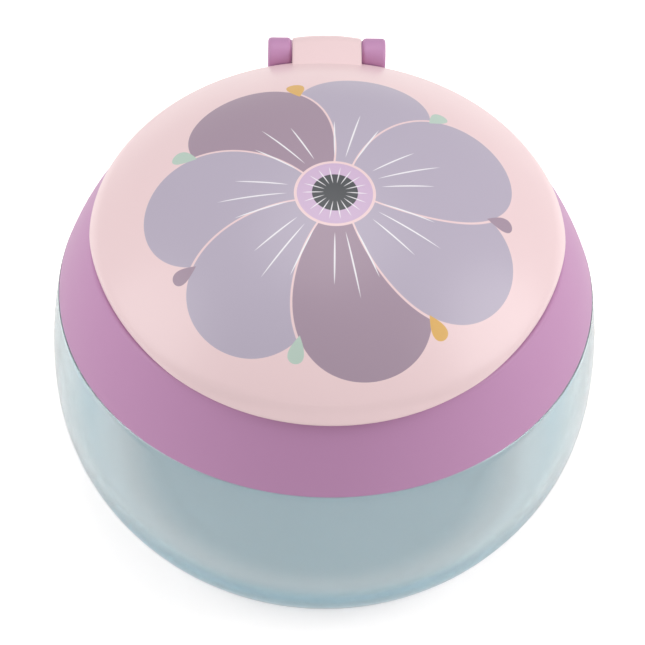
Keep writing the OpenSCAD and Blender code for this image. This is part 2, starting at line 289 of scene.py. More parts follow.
collar_plastic = plastic("collar plastic", COLLAR_PURPLE, 0.46, grain_depth=0.16)[0]
guard_rubber = plastic("guard rubber", GUARD_MILK, 0.62, grain_mm=0.25, grain_depth=0.22,
                       more={"Subsurface Weight": 0.35, "Subsurface Scale": 0.002})[0]
pin_steel = plastic("pin steel", PIN_GREY, 0.32, grain_mm=0.15, grain_depth=0.12, drift=0.01,
                    more={"Metallic": 1.0})[0]
print("three plain finishes ready")

# %% [markdown]
# ## A printed flower
#
# The lid carries a print under its gloss. Here it is a plain garden flower in soft lavender, mauve
# and mustard. Painting it with an image would fix its sharpness, so it is drawn by arithmetic:
# every motif is one shape with a length, a width and a taper. With a taper of one the shape is an
# oval, and with two it becomes a drop with a pointed start. A single node group draws that shape,
# and the petals, drops, discs and fine white lines are all copies of it.

# %% Print shape group
INK_EDGE = 0.12


def print_shape():
    """Mask of one motif: 1 inside, 0 outside. Lengths are in millimetres in the lid's plan."""
    tree = bpy.data.node_groups.new("Print Shape", "ShaderNodeTree")
    sockets(tree, "INPUT", {
        "Point": ("Vector", None), "Centre": ("Vector", None), "Turn": ("Float", 0.0),
        "Length": ("Float", 10.0), "Half Width": ("Float", 4.0), "Taper": ("Float", 1.0)})
    sockets(tree, "OUTPUT", {"Mask": ("Float", None)})
    given = add(tree, "NodeGroupInput").outputs
    from_start = add(tree, "ShaderNodeVectorMath", {0: given["Point"], 1: given["Centre"]},
                     operation="SUBTRACT")
    back = times(tree, given["Turn"], -1.0)
    turned_back = add(tree, "ShaderNodeVectorRotate", {"Vector": from_start.outputs[0], "Angle": back},
                      rotation_type="Z_AXIS")
    parts = add(tree, "ShaderNodeSeparateXYZ", {"Vector": turned_back.outputs[0]}).outputs
    along = add(tree, "ShaderNodeClamp", {"Value": ratio(tree, parts["X"], given["Length"])})
    swell = sums(tree, "POWER", along.outputs[0], given["Taper"])
    hump = times(tree, swell, minus(tree, 1.0, swell))
    share = sums(tree, "SQRT", times(tree, hump, 4.0))
    half = times(tree, share, given["Half Width"])
    inside = minus(tree, half, sums(tree, "ABSOLUTE", parts["Y"]))
    mask = add(tree, "ShaderNodeMapRange", {"Value": inside, "From Max": INK_EDGE})
    add(tree, "NodeGroupOutput", {"Mask": mask.outputs[0]})
    return tree


SHAPE = print_shape()

# %% [markdown]
# ## Laying the print out
#
# The flower is laid out with loops: a ring of petals, some of them in a second colour, then veins,
# the eye of the flower and its stamens. Each petal is printed twice, first a little larger in the
# lid's pink and then in its own colour, which leaves the thin light line that keeps overlapping
# petals apart. Small drops fill the notches between the petals.

# %% Flower layout
OVAL, DROP = 1.0, 2.0
FLOWER = Vector((1.0, -5.0, 0))
FLOWER_TURN = math.radians(77)
PETALS, MAUVE_PETALS = 7, (1, 4)
PETAL_START, PETAL_LENGTH, PETAL_HALF, PETAL_TAPER = 3.0, 35.0, 13.9, 1.5
GAP_LINE = 0.5
VEIN_START, VEIN_HALF = 9.5, 0.22
VEIN_LENGTHS = {-13: 11.0, 0: 14.0, 13: 11.0}
STAMENS = 18
STAMEN_START, STAMEN_LENGTH, STAMEN_HALF = 2.2, 4.4, 0.16
DROP_START, DROP_WIDTH = 30.5, 0.34

LAVENDER = tone(188, 178, 196)
MAUVE = tone(170, 148, 165)
LILAC = tone(212, 184, 214)
CHARCOAL = tone(74, 76, 80)
WHITE = tone(247, 244, 248)
MUSTARD = tone(228, 180, 100)
MINT = tone(190, 210, 198)
EYE = {8.2: LID_PINK, 7.6: LILAC, 4.6: CHARCOAL}
DROPS = ((103, MUSTARD, 5.5), (51, MINT, 5.0), (0, MAUVE, 5.2), (-52, MUSTARD, 5.0),
         (-103, MINT, 5.0), (-154, MAUVE, 5.0), (154, MINT, 5.4))


def outward(angle, distance):
    return FLOWER + Vector((math.cos(angle), math.sin(angle), 0)) * distance


def petal_motifs():
    """Every petal with its light border, and then every petal's veins."""
    angles = [FLOWER_TURN + i * math.tau / PETALS for i in range(PETALS)]
    motifs = []
    for i, angle in enumerate(angles):
        for line, colour in ((GAP_LINE, LID_PINK), (0, MAUVE if i in MAUVE_PETALS else LAVENDER)):
            motifs.append((outward(angle, PETAL_START - line), angle, PETAL_LENGTH + 2 * line,
                           PETAL_HALF + line, PETAL_TAPER, colour))
    for angle in angles:
        for degrees, length in VEIN_LENGTHS.items():
            lean = angle + math.radians(degrees)
            motifs.append((outward(lean, VEIN_START), lean, length, VEIN_HALF, OVAL, WHITE))
    return motifs


def eye_motifs():
    """The eye of the flower: its discs, from the largest in, and a ring of stamens."""
    motifs = [(FLOWER - Vector((radius, 0, 0)), 0.0, 2 * radius, radius, OVAL, colour)
              for radius, colour in EYE.items()]
    for i in range(STAMENS):
        angle = i * math.tau / STAMENS
        motifs.append((outward(angle, STAMEN_START), angle, STAMEN_LENGTH, STAMEN_HALF, OVAL, WHITE))
    return motifs


def drop_motifs():
    """A drop in each notch between two petals, with its point towards the flower's eye."""
    motifs = []
    for degrees, colour, length in DROPS:
        angle = math.radians(degrees)
        motifs.append((outward(angle, DROP_START), angle, length, length * DROP_WIDTH, DROP, colour))
    return motifs


MOTIFS = petal_motifs() + eye_motifs() + drop_motifs()
print(len(MOTIFS), "motifs in the print")

# %% [markdown]
# ## The lid's plastic
#
# A real print lies on the outer face of the lid only. An image would need the lid unwrapped for
# that, but a material can tell the outer face by itself: a point has ink if it is as far from the
# dome's centre as the dome's surface is. So the lid's main sizes are set here: a rim, a short skirt
# that leans inwards, a rounded shoulder, and a dome that runs into the shoulder without a corner.

# %% Printed lid material
LID_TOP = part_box("lid")[1].z / MM
LID_WALL = 2.0
LID_RIM, RIM_Z = 48.2, 64.55
SKIRT_LENGTH, LID_LEAN = 1.4, 28.0
SHOULDER_ROUND = 8.0
INK_DEPTH = 0.6

leaning = Vector((math.cos(math.radians(LID_LEAN)), math.sin(math.radians(LID_LEAN))))
skirt_end = Vector((LID_RIM, RIM_Z)) + SKIRT_LENGTH * Vector((-leaning.y, leaning.x))
shoulder = skirt_end - SHOULDER_ROUND * leaning
rise_over = LID_TOP - shoulder.y
DOME_RADIUS = (shoulder.x**2 + rise_over**2 - SHOULDER_ROUND**2) / (rise_over - SHOULDER_ROUND) / 2
dome = Vector((0, LID_TOP - DOME_RADIUS))
dome_reach = math.degrees(math.asin(shoulder.x / (DOME_RADIUS - SHOULDER_ROUND)))
dome_edge = 90 - dome_reach
print("dome of", round(DOME_RADIUS, 1), "mm radius down to", round(dome_reach, 1), "degrees")


def print_on_lid():
    """The lid's plastic, with the print on the outside of its dome."""
    material, skin = plastic("printed lid plastic", LID_PINK, 0.36, grain_depth=0.05,
                             more={"Coat Weight": 0.1, "Coat Roughness": 0.2})
    tree = material.node_tree
    point = add(tree, "ShaderNodeTexCoord").outputs["Object"]
    place = add(tree, "ShaderNodeVectorMath", {0: point, "Scale": 1 / MM}, operation="SCALE").outputs[0]
    plan = add(tree, "ShaderNodeVectorMath", {0: place, 1: (1, 1, 0)}, operation="MULTIPLY").outputs[0]
    ink = LID_PINK
    for start, turn, length, half, taper, colour in MOTIFS:
        shape = add(tree, "ShaderNodeGroup", {
            "Point": plan, "Centre": start, "Turn": turn, "Length": length, "Half Width": half,
            "Taper": taper}, node_tree=SHAPE)
        ink = blended(tree, shape.outputs["Mask"], ink, colour)
    from_centre = add(tree, "ShaderNodeVectorMath", {0: place, 1: (0, 0, LID_TOP - DOME_RADIUS)},
                      operation="DISTANCE").outputs["Value"]
    outside = sums(tree, "GREATER_THAN", from_centre, DOME_RADIUS - INK_DEPTH)
    tree.links.new(blended(tree, outside, LID_PINK, ink), skin.inputs["Colour"])
    return material


lid_plastic = print_on_lid()

# %% [markdown]
# ## Turning a shell from its outline
#
# The bowl, the collar and the lid are all surfaces of revolution, as if turned on a lathe. In
# Blender that could be a Screw or Spin, but both leave seams to mend. Here a Geometry Nodes tree
# does it: a grid has one column for each step round the axis and one row for each point of the
# outline, and every grid point looks its place up on the outline. Two more rules bend it where the
# real parts aren't round: circles that stand off the axis can draw the surface in or push it out,
# as on the lid's rim, and a hole can have straight sides, as in the flap guard.

# %% Lathe tree
ROUND_STEPS = 192
WELD = 0.002 * MM


def end_tree(tree, shape, material, result):
    """The end of every tree: real copies instead of instances, and the material."""
    real = add(tree, "GeometryNodeRealizeInstances", {"Geometry": shape})
    done = add(tree, "GeometryNodeSetMaterial", {"Geometry": real.outputs[0], "Material": material})
    add(tree, "NodeGroupOutput", {result: done.outputs[0]})


def lathe_tree():
    tree = bpy.data.node_groups.new("Lathe Shell", "GeometryNodeTree")
    sockets(tree, "INPUT", {
        "Outline": ("Geometry", None), "Steps": ("Int", ROUND_STEPS), "Flank Turn": ("Float", 0.0),
        "Flank Shift": ("Float", 0.0), "Lip Shift": ("Float", 0.0), "Blend": ("Float", 0.0),
        "Sides": ("Int", 6), "Finish": ("Material", None)})
    sockets(tree, "OUTPUT", {"Shell": ("Geometry", None)})
    given = add(tree, "NodeGroupInput").outputs
    rows = add(tree, "GeometryNodeAttributeDomainSize", {"Geometry": given["Outline"]})
    rows = rows.outputs["Point Count"]
    columns = plus(tree, given["Steps"], 1.0)
    grid = add(tree, "GeometryNodeMeshGrid", {"Vertices X": columns, "Vertices Y": rows})
    index = add(tree, "GeometryNodeInputIndex").outputs[0]
    row = sums(tree, "MODULO", index, rows)
    column = sums(tree, "FLOOR", ratio(tree, index, rows))

    def looked_up(value, kind="FLOAT"):
        """The value that the outline's point of this row has."""
        return add(tree, "GeometryNodeSampleIndex", {
            "Geometry": given["Outline"], "Value": value, "Index": row}, data_type=kind).outputs[0]

    def stored(name):
        """The value that is stored on the outline under a name."""
        kept = add(tree, "GeometryNodeInputNamedAttribute", {"Name": name}, data_type="FLOAT")
        return looked_up(kept.outputs["Attribute"])

    place = looked_up(add(tree, "GeometryNodeInputPosition").outputs[0], "FLOAT_VECTOR")
    place = add(tree, "ShaderNodeSeparateXYZ", {"Vector": place}).outputs
    angle = times(tree, ratio(tree, column, given["Steps"]), math.tau)
    from_front = sums(tree, "WRAP", angle, math.pi, -math.pi)

    def off_centre(circle, shift, turn):
        """How far out a circle of the stored radius lies when it stands off the axis by shift."""
        circle = stored(circle)
        sideways = times(tree, shift, sums(tree, "SINE", turn))
        reach = minus(tree, times(tree, circle, circle), times(tree, sideways, sideways))
        reach = times(tree, sums(tree, "SIGN", circle), sums(tree, "SQRT", reach))
        return sums(tree, "MULTIPLY_ADD", shift, sums(tree, "COSINE", turn), reach)

    guide = stored("guide")
    to_flank = minus(tree, sums(tree, "ABSOLUTE", from_front), given["Flank Turn"])
    flank = off_centre("flank", given["Flank Shift"], to_flank)
    lip = off_centre("lip", given["Lip Shift"], from_front)
    shaped = sums(tree, "SMOOTH_MIN", guide, flank, given["Blend"])
    shaped = sums(tree, "SMOOTH_MAX", shaped, lip, given["Blend"])
    moved_out = minus(tree, shaped, guide)
    half_side = ratio(tree, math.pi, given["Sides"])
    in_side = sums(tree, "WRAP", angle, half_side, times(tree, half_side, -1.0))
    stretch = minus(tree, ratio(tree, 1.0, sums(tree, "COSINE", in_side)), 1.0)
    stretch = plus(tree, 1.0, times(tree, stretch, stored("straight")))
    radius = plus(tree, times(tree, place["X"], stretch), moved_out)
    x = times(tree, radius, sums(tree, "SINE", angle))
    y = times(tree, times(tree, radius, sums(tree, "COSINE", angle)), -1.0)
    point = add(tree, "ShaderNodeCombineXYZ", {"X": x, "Y": y, "Z": place["Z"]}).outputs[0]
    moved = add(tree, "GeometryNodeSetPosition", {"Geometry": grid.outputs["Mesh"], "Position": point})
    closed = add(tree, "GeometryNodeMergeByDistance", {"Geometry": moved.outputs[0], "Distance": WELD})
    smooth = add(tree, "GeometryNodeSetShadeSmooth", {"Geometry": closed.outputs[0]})
    end_tree(tree, smooth.outputs[0], given["Finish"], "Shell")
    return tree


LATHE = lathe_tree()

# %% Running a tree


def freeze(obj):
    """Replaces an object's mesh by what its modifiers make of it, and takes the modifiers off."""
    bpy.context.view_layer.update()
    graph = bpy.context.evaluated_depsgraph_get()
    mesh = bpy.data.meshes.new_from_object(obj.evaluated_get(graph), depsgraph=graph)
    obj.modifiers.clear()
    obj.data = mesh
    mesh.name = obj.name
    return obj


def run_tree(obj, tree, values):
    """Runs a Geometry Nodes tree on an object with its named inputs, and keeps the result."""
    modifier = obj.modifiers.new(tree.name, "NODES")
    modifier.node_group = tree
    for item in tree.interface.items_tree:
        if item.in_out == "INPUT" and item.name in values:
            modifier[item.identifier] = values[item.name]
    return freeze(obj)


# %% [markdown]
# ## Outlines with soft corners
#
# Real mouldings have no sharp corners: even a crisp edge is a small curve that catches a thin line
# of light. An outline is written as corner points, each with its own rounding, and one function
# turns them into points. It adds a point a short way before and after each curve, so that the
# smooth shading of the curve doesn't leak into the flat wall beside it.

# %% Outline helpers
SUPPORT = 0.35
NO_FLANK, NO_LIP = 1000.0, -1000.0  # circles too far away to change anything


def arc(middle, radius, start, end, steps):
    """Points on an arc, from one angle in degrees to another, with no rounding of their own."""
    angles = [math.radians(start + (end - start) * i / steps) for i in range(steps + 1)]
    return [(middle[0] + radius * math.cos(a), middle[1] + radius * math.sin(a), 0) for a in angles]


def on_circle(middle, radius, degrees):
    """One place on a circle."""
    angle = math.radians(degrees)
    return Vector(middle) + radius * Vector((math.cos(angle), math.sin(angle)))


def rise_angle(middle, radius, height):
    """The angle at which a circle passes a height, in degrees from level."""
    return math.degrees(math.asin((height - middle.y) / radius))


def soften(corners, closed, steps=5):
    """Rounds each corner (across, up, rounding) and returns plain points."""
    points = []
    for i, (across, up, rounding) in enumerate(corners):
        here = Vector((across, up))
        if not rounding:
            points.append(here)
            continue
        before = Vector(corners[i - 1][:2]) - here
        after = Vector(corners[(i + 1) % len(corners)][:2]) - here
        back, on = before.normalized(), after.normalized()
        half = before.angle(after) / 2
        run = rounding / math.tan(half)
        middle = here + (back + on).normalized() * rounding / math.sin(half)
        start, end = here + back * run, here + on * run
        if before.length > run + 2 * SUPPORT:
            points.append(start + back * SUPPORT)
        points += [middle + (start - middle).slerp(end - middle, k / steps) * rounding
                   for k in range(steps + 1)]
        if after.length > run + 2 * SUPPORT:
            points.append(end + on * SUPPORT)
    return points + points[:1] if closed else points


def outline_object(name, points, rules):
    """A line of points in millimetres as a mesh in metres, with what its rules say stored on each."""
    mesh = bpy.data.meshes.new(name)
    places = [(p.x * MM, 0, p.y * MM) for p in points]
    mesh.from_pydata(places, [(i, i + 1) for i in range(len(places) - 1)], [])
    plain = {"guide": lambda p: p.x * MM, "flank": lambda p: NO_FLANK * MM,
             "lip": lambda p: NO_LIP * MM, "straight": lambda p: 0.0}
    for key, rule in (plain | rules).items():
        values = mesh.attributes.new(key, "FLOAT", "POINT")
        values.data.foreach_set("value", [rule(p) for p in points])
    obj = bpy.data.objects.new(name, mesh)
    bpy.context.scene.collection.objects.link(obj)
    return obj


def turned(name, corners, material, closed=False, steps=ROUND_STEPS, rules=None, inputs=None):
    """A shell of revolution from its outline's corners."""
    obj = outline_object(name, soften(corners, closed), rules or {})
    return run_tree(obj, LATHE, {"Steps": steps, "Finish": material} | (inputs or {}))


# %% [markdown]
# ## The bowl
#
# The bowl is blown or moulded in clear polypropylene. Its outside is three arcs that run into each
# other: the wide belly, a tighter heel and the small round foot. The wall steps in at the shoulder,
# where the collar's edge comes down, and goes on up as a neck inside the collar. The thickness is
# real, because light bends in it and takes on more colour where it crosses more of it. The picture
# shows the seam 0.5 mm above the solid model's and almost no gap in it, so the shoulder and the
# collar's edge both meet at the height seen.

# %% Bowl sizes
BODY_R = 55.2
BELLY_Z = 34.6
BELLY_CURVE, HEEL_CURVE = 98.0, 44.0
FOOT_R, FOOT_ANGLE = 8.0, 37.5
FOOT_HOLLOW, FOOT_RING = 0.6, 6.0
BOWL_WALL, FLOOR_T = 2.2, 2.6
NECK_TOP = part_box("bowl")[1].z / MM
NECK_WALL = 2.0
SEAM_SHOWN, SEAM_GAP = 48.5, 0.08

belly = Vector((BODY_R - BELLY_CURVE, BELLY_Z))
foot_drop = (HEEL_CURVE - FOOT_R) * math.sin(math.radians(FOOT_ANGLE))
HEEL_ANGLE = math.degrees(math.asin((BELLY_Z - FOOT_R - foot_drop) / (BELLY_CURVE - HEEL_CURVE)))
heel = on_circle(belly, BELLY_CURVE - HEEL_CURVE, -HEEL_ANGLE)
foot = on_circle(heel, HEEL_CURVE - FOOT_R, -FOOT_ANGLE)
shoulder_z = SEAM_SHOWN - SEAM_GAP
print("the belly meets the heel", round(HEEL_ANGLE, 1), "degrees below level")

# %% [markdown]
# ## The bowl's clear plastic
#
# Tinted clear plastic is colourless at its skin and gets its colour from the depth of material that
# the light crosses, so the shader lets most light through and a Volume Absorption node takes a
# little red from it on the way. Two more tints follow the height and the distance from the axis,
# and both are painted shade. The heel is painted a deeper blue for the shade that light picks up
# crossing the thick heel at a slant, fading both up the wall and towards the table. The floor is
# painted a little greyer for the shadow under the bowl that shows through it.

# %% Bowl plastic
BOWL_BLUE = tone(249, 250, 250)
BOWL_CLEAR, BOWL_IOR = 0.9, 1.2
DEPTH_BLUE, DEPTH_STRENGTH = (0.2, 0.7, 0.82, 1), 36.0
# painted shade: a deeper blue for the light that crosses the thick heel at a slant
HEEL_PAINTED_SHADE = tone(166, 207, 222)
HEEL_TOP, HEEL_FOOT = (21, 11), (3, 9)  # heights between which the tint comes in
HEEL_LEAST = 0.35  # what is left of it at the table
HEEL_SKIN = (HEEL_CURVE - 1.4, HEEL_CURVE - 0.6)
# painted shade: the bowl's floor is tinted greyer for the shadow under the bowl that shows through it
FLOOR_PAINTED_SHADE = tone(216, 232, 237)
FLOOR_EDGE, FLOOR_TOP = (41, 34), (6, 4)


def clear_blue():
    material, skin = plastic("bowl plastic", BOWL_BLUE, 0.16, grain_depth=0.05, marks=0.02,
                             more={"Transmission Weight": BOWL_CLEAR, "IOR": BOWL_IOR})
    tree = material.node_tree
    point = add(tree, "ShaderNodeTexCoord").outputs["Object"]
    flat = add(tree, "ShaderNodeVectorMath", {0: point, 1: (1, 1, 0)}, operation="MULTIPLY").outputs[0]
    radius = add(tree, "ShaderNodeVectorMath", {0: flat}, operation="LENGTH").outputs["Value"]
    height = add(tree, "ShaderNodeSeparateXYZ", {"Vector": point}).outputs["Z"]
    section = add(tree, "ShaderNodeCombineXYZ", {"X": radius, "Y": height}).outputs[0]
    from_heel = add(tree, "ShaderNodeVectorMath", {0: section, 1: (heel.x * MM, heel.y * MM, 0)},
                    operation="DISTANCE").outputs["Value"]
    # painted shade on the heel, fading up the wall and towards the table
    heel_painted_shade = times(tree, fade(tree, from_heel, *HEEL_SKIN), fade(tree, height, *HEEL_TOP))
    low_share = sums(tree, "MULTIPLY_ADD", fade(tree, height, *HEEL_FOOT), 1 - HEEL_LEAST, HEEL_LEAST)
    heel_painted_shade = times(tree, heel_painted_shade, low_share)
    # painted shade on the bowl's floor, for the shadow under the bowl seen through it
    floor_painted_shade = times(tree, fade(tree, radius, *FLOOR_EDGE), fade(tree, height, *FLOOR_TOP))
    colour = blended(tree, floor_painted_shade, BOWL_BLUE, FLOOR_PAINTED_SHADE)
    tree.links.new(blended(tree, heel_painted_shade, colour, HEEL_PAINTED_SHADE), skin.inputs["Colour"])
    depth = add(tree, "ShaderNodeVolumeAbsorption", {"Color": DEPTH_BLUE, "Density": DEPTH_STRENGTH})
    tree.links.new(depth.outputs[0], tree.nodes["Material Output"].inputs["Volume"])
    return material


bowl_plastic = clear_blue()
print("clear plastic, tinted most on a heel of", HEEL_CURVE, "mm radius")

# %% [markdown]
# ## The collar's own outline
#
# The collar's outside is one shallow arc from the seam up to its rim, whose centre is worked out
# from its two ends. Its inside holds more than one would think: the deck that the lid closes on, a
# raised lip round the mouth, and a skirt that the flap guard is clamped in. The bowl's neck has to
# fit inside it, so these sizes come before the bowl is built.

# %% Collar sizes
DECK_Z, DECK_T = 64.2, 2.0
COLLAR_RIM, COLLAR_CURVE, COLLAR_WALL = 47.6, 62.0, 2.0
MOUTH_R, MOUTH_LIP_T, MOUTH_LIP_H = 37.0, 2.0, 3.2
SKIRT_ROOM, SKIRT_T = 1.2, 1.3
NECK_GAP = 0.6

seam_r = belly.x + math.sqrt(BELLY_CURVE**2 - (SEAM_Z - BELLY_Z) ** 2)
chord = Vector((COLLAR_RIM - seam_r, DECK_Z - SEAM_Z))
rise = math.sqrt(COLLAR_CURVE**2 - (chord.length / 2) ** 2)
collar_middle = Vector((seam_r, SEAM_Z)) + chord / 2 - rise * Vector((chord.y, -chord.x)).normalized()


def collar_radius(z, inset=0.0):
    return collar_middle.x + math.sqrt((COLLAR_CURVE - inset) ** 2 - (z - collar_middle.y) ** 2)


neck_r = collar_radius(NECK_TOP, COLLAR_WALL) - NECK_GAP
deck_under = DECK_Z - DECK_T
skirt_r = collar_radius(deck_under, COLLAR_WALL) - SKIRT_ROOM - SKIRT_T
print("seam radius", round(seam_r, 2), "and neck radius", round(neck_r, 2), "mm")

# %% [markdown]
# ## Lugs that repeat round the axis
#
# The twist lock has three lugs on the bowl's neck and three ledges in the collar, and six small
# beads hold the guard's clamp ring. Modelling each would be slow and uneven, so one of each kind is
# made as a curved block with soft edges, and a Geometry Nodes tree sets copies of it round the
# axis.

# %% Repeat tree


def repeat_tree():
    tree = bpy.data.node_groups.new("Repeat Around", "GeometryNodeTree")
    sockets(tree, "INPUT", {
        "One": ("Geometry", None), "Count": ("Int", 3), "Start": ("Float", 0.0),
        "Finish": ("Material", None)})
    sockets(tree, "OUTPUT", {"All": ("Geometry", None)})
    given = add(tree, "NodeGroupInput").outputs
    spots = add(tree, "GeometryNodePoints", {"Count": given["Count"]})
    index = add(tree, "GeometryNodeInputIndex").outputs[0]
    share = times(tree, ratio(tree, index, given["Count"]), math.tau)
    turn = add(tree, "ShaderNodeCombineXYZ", {"Z": plus(tree, share, given["Start"])})
    copies = add(tree, "GeometryNodeInstanceOnPoints", {
        "Points": spots.outputs[0], "Instance": given["One"], "Rotation": turn.outputs[0]})
    end_tree(tree, copies.outputs[0], given["Finish"], "All")
    return tree


REPEAT = repeat_tree()


def around(obj, count, start_degrees, material):
    values = {"Count": count, "Start": math.radians(start_degrees), "Finish": material}
    return run_tree(obj, REPEAT, values)


# %% Block helpers
BLOCK_EDGE = 0.25


def link_mesh(name, build):
    """A new object from a bmesh, with its faces turned outwards."""
    bmesh.ops.recalc_face_normals(build, faces=build.faces)
    mesh = bpy.data.meshes.new(name)
    build.to_mesh(mesh)
    build.free()
    obj = bpy.data.objects.new(name, mesh)
    bpy.context.scene.collection.objects.link(obj)
    return obj


def block(name, rings):
    """A closed block from rings of places in millimetres, one behind the other."""
    build = bmesh.new()
    rings = [[build.verts.new([length * MM for length in place]) for place in ring] for ring in rings]
    for near, far in zip(rings, rings[1:]):
        for k in range(len(near)):
            after = (k + 1) % len(near)
            build.faces.new((near[k], near[after], far[after], far[k]))
    build.faces.new(rings[0])
    build.faces.new(rings[-1])
    return link_mesh(name, build)


def soft_edges(obj, width, angle=40, segments=3):
    """Rounds the sharp edges of a block."""
    bevel = obj.modifiers.new("Bevel", "BEVEL")
    bevel.width, bevel.segments = width * MM, segments
    bevel.limit_method, bevel.angle_limit = "ANGLE", math.radians(angle)
    return freeze(obj)


def curved_block(name, inner, outer, under, top, sweep, middle=0.0, steps=14):
    """A block bent round the axis. Its middle is at the front, turned by middle degrees."""
    section = ((inner, under), (outer, under), (outer, top), (inner, top))
    angles = [math.radians(middle + sweep * (i / steps - 0.5)) for i in range(steps + 1)]
    rings = [[(out * math.sin(a), -out * math.cos(a), z) for out, z in section] for a in angles]
    return soft_edges(block(name, rings), BLOCK_EDGE)


def combine(target, tool, operation):
    """A boolean of two closed meshes. The tool is used up."""
    modifier = target.modifiers.new(operation.title(), "BOOLEAN")
    modifier.operation, modifier.solver, modifier.object = operation, "EXACT", tool
    freeze(target)
    bpy.data.objects.remove(tool)
    return target


def smooth_to(obj, degrees):
    """Smooth shading that keeps edges sharper than this angle crisp."""
    obj.data.polygons.foreach_set("use_smooth", [True] * len(obj.data.polygons))
    obj.data.set_sharp_from_angle(angle=math.radians(degrees))
    return obj


# %% Bowl outline
RING_EDGE, SHOULDER_EDGE, NECK_EDGE = 0.3, 0.3, 0.7
NECK_ROOT, NECK_ROOT_IN, CEILING_ROUND = 0.4, 1.0, 1.2


def bowl_corners():
    """The bowl's whole section, from under its middle round to the floor inside."""
    ring_in = foot.x - FOOT_RING
    neck_in = neck_r - NECK_WALL
    ceiling = shoulder_z - BOWL_WALL
    belly_in, heel_in, foot_in = (curve - BOWL_WALL for curve in (BELLY_CURVE, HEEL_CURVE, FOOT_R))
    top_out = rise_angle(belly, BELLY_CURVE, shoulder_z)
    top_in = rise_angle(belly, belly_in, ceiling)
    outside = (arc(foot, FOOT_R, -90, -FOOT_ANGLE, 10)
               + arc(heel, HEEL_CURVE, -FOOT_ANGLE, -HEEL_ANGLE, 8)[1:]
               + arc(belly, BELLY_CURVE, -HEEL_ANGLE, top_out, 12)[1:-1])
    inside = (arc(belly, belly_in, top_in, -HEEL_ANGLE, 12)[1:]
              + arc(heel, heel_in, -HEEL_ANGLE, -FOOT_ANGLE, 8)[1:]
              + arc(foot, foot_in, -FOOT_ANGLE, rise_angle(foot, foot_in, FLOOR_T), 6)[1:])
    return ([(0, FOOT_HOLLOW, 0), (ring_in, FOOT_HOLLOW, RING_EDGE), (ring_in, 0, RING_EDGE)]
            + outside
            + [(on_circle(belly, BELLY_CURVE, top_out).x, shoulder_z, SHOULDER_EDGE),
               (neck_r, shoulder_z, NECK_ROOT), (neck_r, NECK_TOP, NECK_EDGE),
               (neck_in, NECK_TOP, NECK_EDGE), (neck_in, ceiling, NECK_ROOT_IN),
               (on_circle(belly, belly_in, top_in).x, ceiling, CEILING_ROUND)]
            + inside + [(0, FLOOR_T, 0)])


# %% Bowl with its twist lugs
LOCK_COUNT, LOCK_ARC, LOCK_T, LOCK_GAP, LOCK_RISE = 3, 28.0, 2.0, 0.3, 1.0
STOP_ARC = 3.0
SUNK = 0.4  # how deep a block's root sits in its wall
SHY = 0.1  # how far a block stays short of a face that it would share
ledge_z = SEAM_Z + LOCK_RISE
lug_z = ledge_z + LOCK_T + LOCK_GAP
lug_r = collar_radius(lug_z + LOCK_T, COLLAR_WALL) - NECK_GAP


def make_bowl():
    bowl = turned("bowl_shell", bowl_corners(), bowl_plastic)
    lug = curved_block("lug", neck_r - SUNK, lug_r, lug_z, lug_z + LOCK_T, LOCK_ARC)
    combine(bowl, around(lug, LOCK_COUNT, 0, bowl_plastic), "UNION")
    stop_at = -(LOCK_ARC / 2 + STOP_ARC / 2 + LOCK_GAP)
    stop = curved_block("stop", neck_r - SUNK, lug_r, shoulder_z - SUNK, lug_z + LOCK_T - SHY,
                        STOP_ARC, stop_at, steps=4)
    combine(bowl, around(stop, LOCK_COUNT, 0, bowl_plastic), "UNION")
    return smooth_to(bowl, degrees=35)


bowl = make_bowl()
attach(bowl, "bowl")
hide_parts("bowl")
print("bowl has", len(bowl.data.polygons), "faces")

# %% [markdown]
# ## The collar and its hinge ears
#
# The collar is turned like the bowl, and then gets what isn't round: the ledges and beads inside,
# and at the back two ears that hold the hinge pin. The ears' outline is a round eye on a leg that
# runs down into the wall. Between them a trough is cut with the same axis as the pin, so that the
# lid's knuckle can roll in it.

# %% Collar outline
GUARD_GAP, CLAMP_T, EDGE_T = 0.1, 1.8, 1.8
BEAD_H, BEAD_IN, BEAD_COUNT, BEAD_ARC, BEAD_START = 0.8, 0.6, 6, 14.0, 30
SEAM_EDGE, SEAM_EDGE_IN, RIM_ROUND = 0.25, 0.3, 1.2
DECK_CORNER, LIP_ROUND, MOUTH_EDGE = 0.4, 0.95, 0.2
SKIRT_EDGE, SKIRT_ROOT, WALL_CORNER = 0.25, 0.3, 0.1

clamp_under = deck_under - EDGE_T - CLAMP_T
bead_top = clamp_under - GUARD_GAP
skirt_under = bead_top - BEAD_H


def collar_corners():
    """The collar's section, anticlockwise from the inner edge of its foot."""
    curve_in = COLLAR_CURVE - COLLAR_WALL
    seam, deck = (rise_angle(collar_middle, COLLAR_CURVE, z) for z in (SEAM_SHOWN, DECK_Z))
    ceiling, foot_in = (rise_angle(collar_middle, curve_in, z) for z in (deck_under, SEAM_SHOWN))
    lip_out, lip_top = MOUTH_R + MOUTH_LIP_T, DECK_Z + MOUTH_LIP_H
    skirt_back = skirt_r + SKIRT_T
    return ([(collar_radius(SEAM_SHOWN, COLLAR_WALL), SEAM_SHOWN, SEAM_EDGE_IN),
             (collar_radius(SEAM_SHOWN), SEAM_SHOWN, SEAM_EDGE)]
            + arc(collar_middle, COLLAR_CURVE, seam, deck, 12)[1:-1]
            + [(COLLAR_RIM, DECK_Z, RIM_ROUND), (lip_out, DECK_Z, DECK_CORNER),
               (lip_out, lip_top, LIP_ROUND), (MOUTH_R, lip_top, LIP_ROUND),
               (MOUTH_R, deck_under, MOUTH_EDGE), (skirt_r, deck_under, 0),
               (skirt_r, skirt_under, SKIRT_EDGE), (skirt_back, skirt_under, SKIRT_EDGE),
               (skirt_back, deck_under, SKIRT_ROOT),
               (collar_radius(deck_under, COLLAR_WALL), deck_under, WALL_CORNER)]
            + arc(collar_middle, curve_in, ceiling, foot_in, 12)[1:-1])


